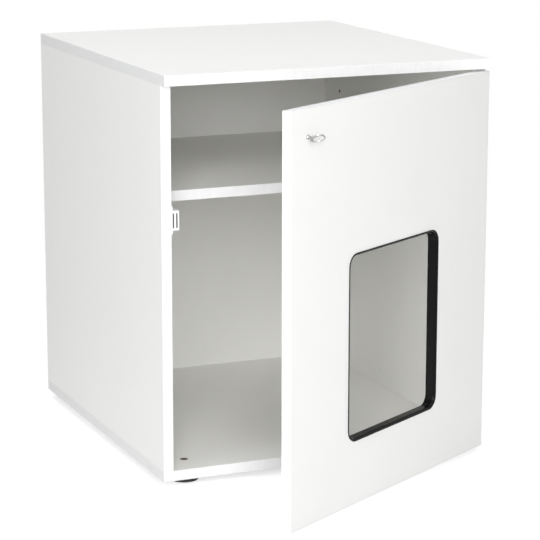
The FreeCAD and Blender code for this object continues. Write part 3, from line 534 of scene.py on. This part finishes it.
# ---- operators --------------------------------------------------------------------------------
class CABINET_OT_stage(bpy.types.Operator):
    """Set up the camera, the lamps, the surround and the floor"""
    bl_idname = "cabinet.stage"
    bl_label = "Stage"

    def execute(self, context):
        studio = context.scene.cabinet_studio
        context.scene.view_settings.view_transform = "Standard"
        self.camera(context, studio)
        self.surround(context, studio)
        self.floor(context)
        for name, place, width in LAMPS:
            self.lamp(context, name, getattr(studio, name), place, width)
        return {"FINISHED"}

    def camera(self, context, studio):
        data = bpy.data.cameras.new("camera")
        data.lens = studio.lens
        data.sensor_width = SENSOR_WIDTH
        data.clip_end = CLIP_END
        camera = bpy.data.objects.new("camera", data)
        camera.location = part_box("bottom_panel")[0] + Vector(studio.station)
        camera.rotation_euler = (Matrix.Rotation(studio.heading, 3, "Z")
                                 @ Matrix.Rotation(math.pi / 2 - studio.dip, 3, "X")
                                 @ Matrix.Rotation(-studio.roll, 3, "Z")).to_euler()
        context.scene.collection.objects.link(camera)
        context.scene.camera = camera

    def surround(self, context, studio):
        world = bpy.data.worlds.new("studio")
        context.scene.world = world
        world.use_nodes = True
        nodes, links = world.node_tree.nodes, world.node_tree.links
        nodes.clear()
        even = nodes.new("ShaderNodeBackground")
        even.inputs["Color"].default_value = (1, 1, 1, 1)
        even.inputs["Strength"].default_value = studio.surround
        white = nodes.new("ShaderNodeBackground")
        white.inputs["Color"].default_value = (1, 1, 1, 1)
        white.inputs["Strength"].default_value = 1.0
        seen = self.seen(nodes, links)
        mix = nodes.new("ShaderNodeMixShader")
        links.new(seen, mix.inputs[0])
        links.new(even.outputs[0], mix.inputs[1])
        links.new(white.outputs[0], mix.inputs[2])
        out = nodes.new("ShaderNodeOutputWorld")
        links.new(mix.outputs[0], out.inputs["Surface"])

    def seen(self, nodes, links):
        """1 for camera, glossy and transmission rays, else 0"""
        path = nodes.new("ShaderNodeLightPath")
        total = path.outputs["Is Camera Ray"]
        for ray in ("Is Glossy Ray", "Is Transmission Ray"):
            either = nodes.new("ShaderNodeMath")
            either.operation = "MAXIMUM"
            links.new(total, either.inputs[0])
            links.new(path.outputs[ray], either.inputs[1])
            total = either.outputs[0]
        return total

    def floor(self, context):
        mesh = bpy.data.meshes.new("floor")
        bm = bmesh.new()
        bmesh.ops.create_grid(bm, x_segments=1, y_segments=1, size=FLOOR_REACH)
        bmesh.ops.translate(bm, vec=(0, 0, cad_low.z), verts=bm.verts)
        bm.to_mesh(mesh)
        bm.free()
        floor = bpy.data.objects.new("floor", mesh)
        context.scene.collection.objects.link(floor)
        material = bpy.data.materials.new("floor_white")
        material.use_nodes = True
        nodes, links = material.node_tree.nodes, material.node_tree.links
        nodes.clear()
        matt = nodes.new("ShaderNodeBsdfDiffuse")
        matt.inputs["Color"].default_value = (*(FLOOR_GREY,) * 3, 1)
        lift = nodes.new("ShaderNodeEmission")
        lift.inputs["Color"].default_value = (*(FLOOR_LIFT,) * 3, 1)
        near = nodes.new("ShaderNodeAddShader")
        links.new(matt.outputs[0], near.inputs[0])
        links.new(lift.outputs[0], near.inputs[1])
        far = nodes.new("ShaderNodeEmission")
        place = nodes.new("ShaderNodeTexCoord")
        distance = nodes.new("ShaderNodeVectorMath")
        distance.operation = "LENGTH"
        links.new(place.outputs["Object"], distance.inputs[0])
        fade = nodes.new("ShaderNodeMapRange")
        fade.interpolation_type = "SMOOTHSTEP"
        links.new(distance.outputs["Value"], fade.inputs["Value"])
        fade.inputs["From Min"].default_value = FADE_FROM
        fade.inputs["From Max"].default_value = FADE_TO
        look = nodes.new("ShaderNodeMixShader")
        links.new(fade.outputs[0], look.inputs[0])
        links.new(near.outputs[0], look.inputs[1])
        links.new(far.outputs[0], look.inputs[2])
        pick = nodes.new("ShaderNodeMixShader")
        links.new(self.seen(nodes, links), pick.inputs[0])
        links.new(matt.outputs[0], pick.inputs[1])
        links.new(look.outputs[0], pick.inputs[2])
        out = nodes.new("ShaderNodeOutputMaterial")
        links.new(pick.outputs[0], out.inputs["Surface"])
        mesh.materials.append(material)

    def lamp(self, context, name, power, place, width):
        data = bpy.data.lights.new(name, "AREA")
        data.energy = power
        data.color = LAMP_COLOUR
        data.shape = "DISK"
        data.size = width
        lamp = bpy.data.objects.new(name, data)
        lamp.location = place
        middle = (cad_low + cad_high) / 2
        lamp.rotation_euler = (middle - Vector(place)).to_track_quat("-Z", "Y").to_euler()
        context.scene.collection.objects.link(lamp)


class CABINET_OT_boards(bpy.types.Operator):
    """Finish the melamine panels, the shelf, the door and the back"""
    bl_idname = "cabinet.boards"
    bl_label = "Boards"

    def execute(self, context):
        for node, thin in (("top_panel", 2), ("bottom_panel", 2), ("shelf", 2),
                           ("left_side_panel", 0), ("right_side_panel", 0)):
            low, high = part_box(node)
            dress(node, board_finish("melamine_" + node, (low + high) / 2, (high - low) / 2, 0.0,
                                     thin))
        self.door(context)
        colours = context.scene.cabinet_finish
        dress("back_panel", plain_finish("lacquered_hardboard", colours.hardboard, 0.5, 300.0,
                                         0.00003, vary=0.015))
        dress("wood_dowels", plain_finish("beech", BEECH, 0.6, 300.0, 0.0001,
                                          stretch=(1, 1, 0.1), vary=0.15))
        return {"FINISHED"}

    def door(self, context):
        points = [vert.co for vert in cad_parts["door_panel"].data.vertices]
        unturn = Matrix.Rotation(-DOOR_AJAR, 3, "Z")
        local = [unturn @ point for point in points]
        low = Vector([min(p[i] for p in local) for i in range(3)])
        high = Vector([max(p[i] for p in local) for i in range(3)])
        centre = Matrix.Rotation(DOOR_AJAR, 3, "Z") @ ((low + high) / 2)
        dress("door_panel", board_finish("melamine_door", centre, (high - low) / 2, DOOR_AJAR, 1))


class CABINET_OT_entry_trim(bpy.types.Operator):
    """Finish the black edge trim round the cat entry"""
    bl_idname = "cabinet.entry_trim"
    bl_label = "Entry trim"

    def execute(self, context):
        colours = context.scene.cabinet_finish
        dress("entry_trim", plain_finish("black_edge_trim", colours.trim, 0.2, 900.0, 0.000006,
                                         specular=0.13))
        return {"FINISHED"}


class CABINET_OT_door_pull(bpy.types.Operator):
    """Cast a smooth plated ring pull in the place of the plain one"""
    bl_idname = "cabinet.door_pull"
    bl_label = "Ring pull"

    def execute(self, context):
        colours = context.scene.cabinet_finish
        pull = context.scene.cabinet_pull
        bm = bmesh.new()
        self.ring(bm, pull)
        self.stem(bm, pull)
        bmesh.ops.recalc_face_normals(bm, faces=bm.faces)
        bmesh.ops.rotate(bm, cent=(0, 0, 0), matrix=Matrix.Rotation(DOOR_AJAR, 3, "Z"),
                         verts=bm.verts)
        bmesh.ops.translate(bm, vec=self.seat(), verts=bm.verts)
        mesh = bpy.data.meshes.new("ring_pull")
        bm.to_mesh(mesh)
        bm.free()
        nickel = plain_finish("satin_nickel", colours.pull, 0.2, 1800.0, 0.000004, 1.0, vary=0.03)
        finished("ring_pull", cast(mesh, CAST_GRAIN, CAST_PASSES), nickel, "door", "pull_metal",
                 "door_pull")
        return {"FINISHED"}

    def seat(self):
        """Middle of the pull's foot on the door's face"""
        points = [vert.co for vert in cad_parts["door_pull"].data.vertices]
        nearest = min(point.dot(DOOR_OUT) for point in points)
        rim = [point for point in points if point.dot(DOOR_OUT) < nearest + SEAT_BAND]
        return (Vector([min(p[i] for p in rim) for i in range(3)])
                + Vector([max(p[i] for p in rim) for i in range(3)])) / 2

    def ring(self, bm, pull):
        """A ring out along -y, of wire that thickens towards the stem"""
        made = bmesh.ops.create_circle(bm, segments=WIRE_SIDES, radius=pull.wire_radius)["verts"]
        bmesh.ops.rotate(bm, cent=(0, 0, 0), matrix=Matrix.Rotation(math.pi / 2, 3, "X"),
                         verts=made)
        bmesh.ops.translate(bm, vec=(pull.ring_radius, 0, 0), verts=made)
        edges = list({edge for vert in made for edge in vert.link_edges})
        bmesh.ops.spin(bm, geom=made + edges, cent=(0, 0, 0), axis=(0, 0, 1), angle=2 * math.pi,
                       steps=RING_STEPS, use_merge=True)
        bmesh.ops.remove_doubles(bm, verts=bm.verts, dist=FINE_WELD)
        for vert in bm.verts:
            flat = Vector((vert.co.x, vert.co.y, 0)).normalized()
            middle = flat * pull.ring_radius
            share = (flat.y + 1) / 2
            vert.co = middle + (vert.co - middle) * (THIN_WIRE + THICKER_WIRE * share ** 3)
        upright = Matrix.Rotation(pull.turn, 3, "Y") @ Matrix.Rotation(math.pi / 2, 3, "Y")
        bmesh.ops.rotate(bm, cent=(0, 0, 0), matrix=upright, verts=bm.verts)
        bmesh.ops.translate(bm, vec=(0, -pull.reach, 0), verts=bm.verts)

    def stem(self, bm, pull):
        """A small foot that draws in to a stem and runs into the ring"""
        end = pull.reach - pull.ring_radius
        profile = [*STEM_FOOT, *((radius, end + past) for radius, past in STEM_END)]
        verts = [bm.verts.new((radius, -out, 0)) for radius, out in profile]
        edges = [bm.edges.new(pair) for pair in zip(verts, verts[1:])]
        bmesh.ops.spin(bm, geom=verts + edges, cent=(0, 0, 0), axis=(0, 1, 0), angle=2 * math.pi,
                       steps=STEM_STEPS, use_merge=True)
        bmesh.ops.remove_doubles(bm, verts=bm.verts, dist=FINE_WELD)


class CABINET_OT_catch(bpy.types.Operator):
    """Finish the magnetic catch and its strike plate"""
    bl_idname = "cabinet.catch"
    bl_label = "Magnetic catch"

    def execute(self, context):
        colours = context.scene.cabinet_finish
        white = plain_finish("white_moulding", colours.white_plastic, 0.4, 1400.0, 0.00001,
                             vary=0.01)
        dress("catch_housing", white)
        dress("hole_plug", white)
        dress("catch_pole_plates", plain_finish("dark_pole_steel", POLE_STEEL, 0.45, 900.0,
                                                0.00002, 1.0, vary=0.15))
        dress("catch_magnet", plain_finish("ferrite", FERRITE, 0.7, 800.0, 0.00005, vary=0.2))
        dress("strike_plate", plain_finish("strike_nickel", colours.steel, 0.32, 700.0, 0.00001,
                                           1.0, vary=0.06))
        return {"FINISHED"}


class CABINET_OT_hinges(bpy.types.Operator):
    """Finish the concealed hinges and the shelf supports"""
    bl_idname = "cabinet.hinges"
    bl_label = "Hinges"

    def execute(self, context):
        colours = context.scene.cabinet_finish
        plated = plain_finish("nickel_plate", colours.steel, 0.3, 500.0, 0.00002, 1.0, vary=0.06)
        pins = plain_finish("bright_pins", tint(colours.steel, 0.9), 0.25, 900.0, 0.00001, 1.0,
                            vary=0.05)
        for node in sorted(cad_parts):
            if node.startswith("hinge_") and "screws" not in node:
                dress(node, pins if "pins" in node else plated)
        dress("shelf_supports", plated)
        return {"FINISHED"}


class CABINET_OT_screws(bpy.types.Operator):
    """Stand cross-drive screws in the places of the plain ones"""
    bl_idname = "cabinet.screws"
    bl_label = "Screws"

    def execute(self, context):
        colours = context.scene.cabinet_finish
        zinc = plain_finish("zinc_screws", colours.zinc, 0.33, 900.0, 0.00001, 1.0, vary=0.08)
        right, left = Vector((-1, 0, 0)), Vector((1, 0, 0))  # out of each side's inner face
        for node, outward, body, domed, name in (
                ("hinge_plate_screws", right, "cabinet", False, "plate_screws"),
                ("hinge_arm_screws", right, "cabinet", True, "arm_screws"),
                ("hinge_cup_screws", -DOOR_OUT, "door", False, "cup_screws"),
                ("catch_screws", left, "cabinet", True, "catch_fixings"),
                ("strike_plate_screw", -DOOR_OUT, "door", False, "strike_fixing"),
                ("door_pull_screw", -DOOR_OUT, "door", True, "pull_fixing")):
            screws_for(node, outward, body, domed, name, zinc)
        return {"FINISHED"}


class CABINET_OT_feet(bpy.types.Operator):
    """Finish the screw feet"""
    bl_idname = "cabinet.feet"
    bl_label = "Feet"

    def execute(self, context):
        colours = context.scene.cabinet_finish
        black = plain_finish("black_moulding", colours.black_plastic, 0.45, 1200.0, 0.00002,
                             vary=0.15)
        for node in sorted(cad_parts):
            if node.startswith("foot_"):
                dress(node, black)
        return {"FINISHED"}


class CABINET_PT_build(bpy.types.Panel):
    """Lists the cabinet's operators and colours"""
    bl_label = "Cat litter box cabinet"
    bl_idname = "CABINET_PT_build"
    bl_space_type = "VIEW_3D"
    bl_region_type = "UI"
    bl_category = "Cabinet"

    def draw(self, context):
        for operator in STEPS:
            self.layout.operator(operator.bl_idname)
        for group in GROUPS:
            settings = getattr(context.scene, group)
            for key in settings.__annotations__:
                self.layout.prop(settings, key)


STEPS = (CABINET_OT_stage, CABINET_OT_boards, CABINET_OT_entry_trim, CABINET_OT_door_pull,
         CABINET_OT_catch, CABINET_OT_hinges, CABINET_OT_screws, CABINET_OT_feet)
GROUPS = {"cabinet_finish": CabinetFinish, "cabinet_pull": CabinetPull,
          "cabinet_screws": CabinetScrews, "cabinet_studio": CabinetStudio}
CLASSES = (*GROUPS.values(), *STEPS, CABINET_PT_build)


def register():
    for item in CLASSES:
        bpy.utils.register_class(item)
    for name, group in GROUPS.items():
        setattr(bpy.types.Scene, name, bpy.props.PointerProperty(type=group))


def unregister():
    for name in GROUPS:
        delattr(bpy.types.Scene, name)
    for item in reversed(CLASSES):
        bpy.utils.unregister_class(item)


def main():
    register()
    bpy.ops.cabinet.stage()
    bpy.ops.cabinet.boards()
    bpy.ops.cabinet.entry_trim()
    bpy.ops.cabinet.door_pull()
    bpy.ops.cabinet.catch()
    bpy.ops.cabinet.hinges()
    bpy.ops.cabinet.screws()
    bpy.ops.cabinet.feet()


if __name__ == "__main__":
    main()
